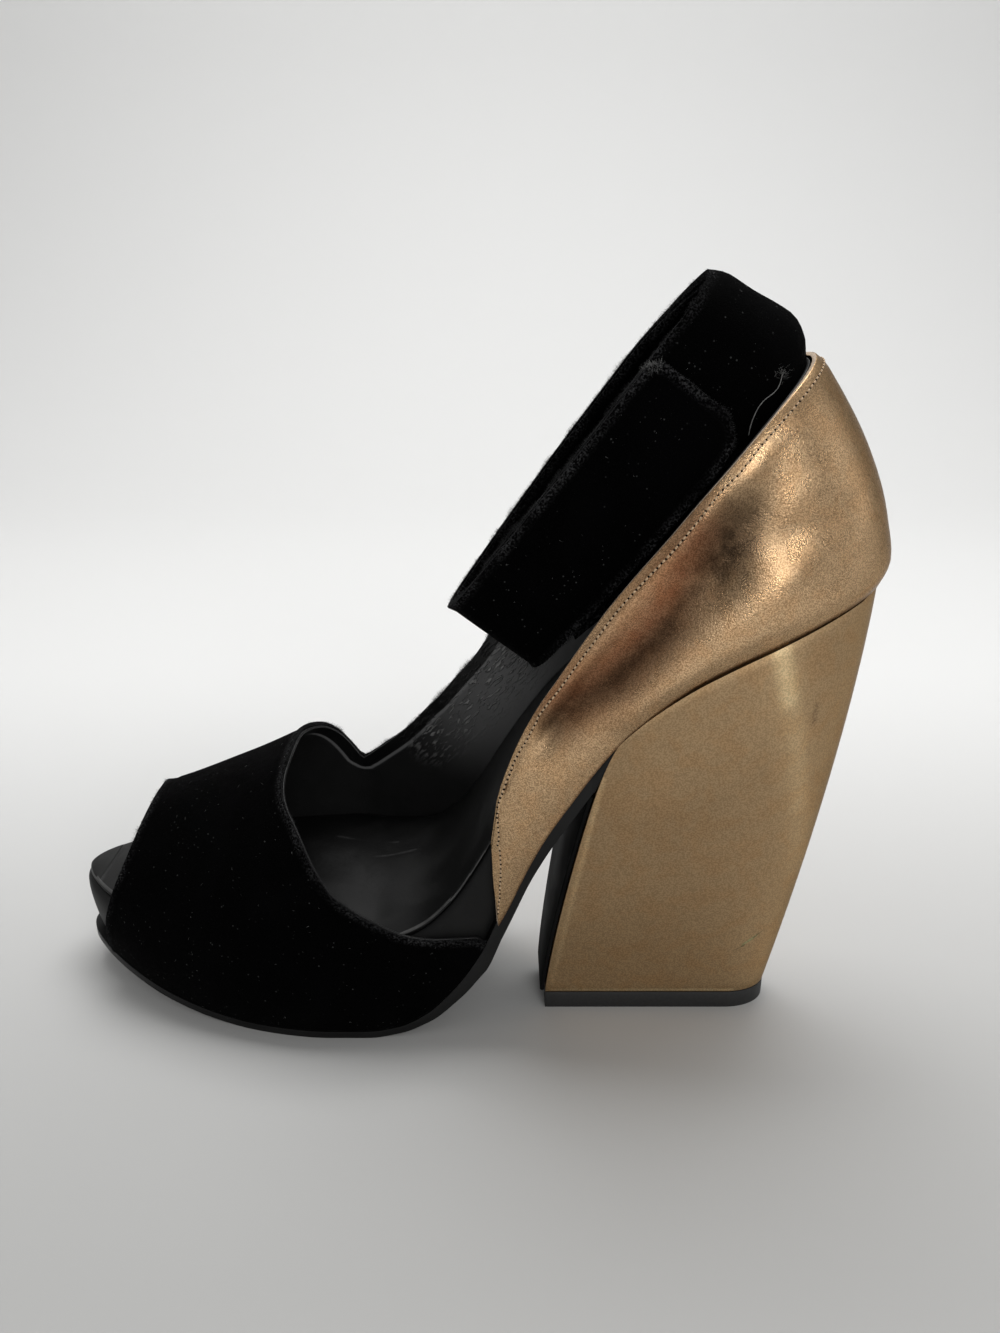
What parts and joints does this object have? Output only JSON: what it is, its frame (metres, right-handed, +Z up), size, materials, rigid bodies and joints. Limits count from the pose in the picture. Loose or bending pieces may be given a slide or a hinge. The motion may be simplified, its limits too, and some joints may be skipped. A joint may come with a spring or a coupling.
{
  "type": "peep-toe platform shoe",
  "caption": "Left peep-toe platform shoe: black velvet vamp, open outer waist, bronze leather counter, covered block heel and a wide ankle strap.",
  "frame": {"origin": "middle of the shoe's box on the floor it stands on", "axes": "+Z up; the toe points to -X and the heel to +X; the outer side of the left foot is at -Y"},
  "size_m": [0.2113, 0.0808, 0.1901],
  "materials": {
    "sole_leather": "smooth black sole leather, satin",
    "black_leather": "smooth black leather, satin",
    "sock_leather": "smooth black sock leather, satin, lightly scuffed",
    "velvet": "deep black velvet, lined with black leather",
    "bronze_leather": "bronze metallic leather, fine grain, satin",
    "strap_velvet": "deep black velvet",
    "heel_bronze": "bronze metallic leather drawn smooth over the heel, satin",
    "breast_leather": "smooth black leather, satin",
    "black_rubber": "matt black rubber"
  },
  "bodies": {
    "root": {"outsole": "sole_leather", "platform": "black_leather", "insole": "sock_leather", "upper": "velvet", "counter": "bronze_leather", "ankle_strap": "strap_velvet", "heel": "heel_bronze", "heel_breast": "breast_leather", "top_piece": "black_rubber"}
  },
  "joints": []
}
